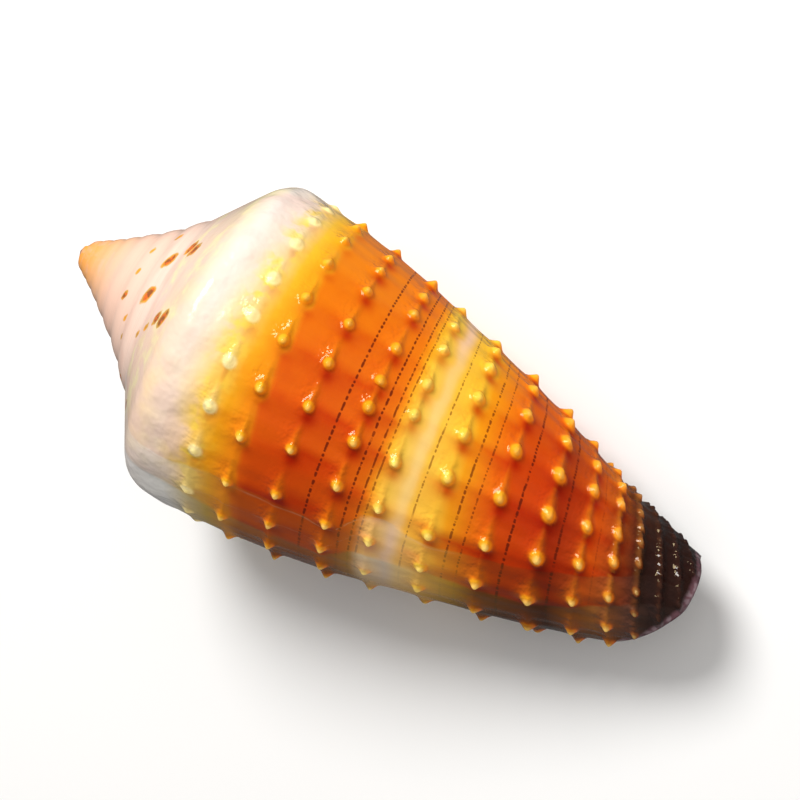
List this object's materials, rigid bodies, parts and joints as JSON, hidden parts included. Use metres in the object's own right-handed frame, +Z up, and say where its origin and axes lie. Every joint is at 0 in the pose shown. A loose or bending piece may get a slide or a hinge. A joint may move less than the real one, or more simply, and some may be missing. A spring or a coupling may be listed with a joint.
{
  "type": "cone shell",
  "caption": "Empty cone shell with a pointed spire, a rounded shoulder, spiral rows of small knobs and a long narrow opening underneath.",
  "frame": {"origin": "middle of the bounding box, on the floor that the shell rests on", "axes": "+X toward the narrow front end, +Z up from the floor, with the back of the shell upward and the outer lip on the -Y side"},
  "size_m": [0.0412, 0.0204, 0.0195],
  "materials": {
    "shell": "glossy, banded cream, yellow and orange, dark at the front end"
  },
  "bodies": {
    "root": {"shell": "shell"}
  },
  "joints": []
}
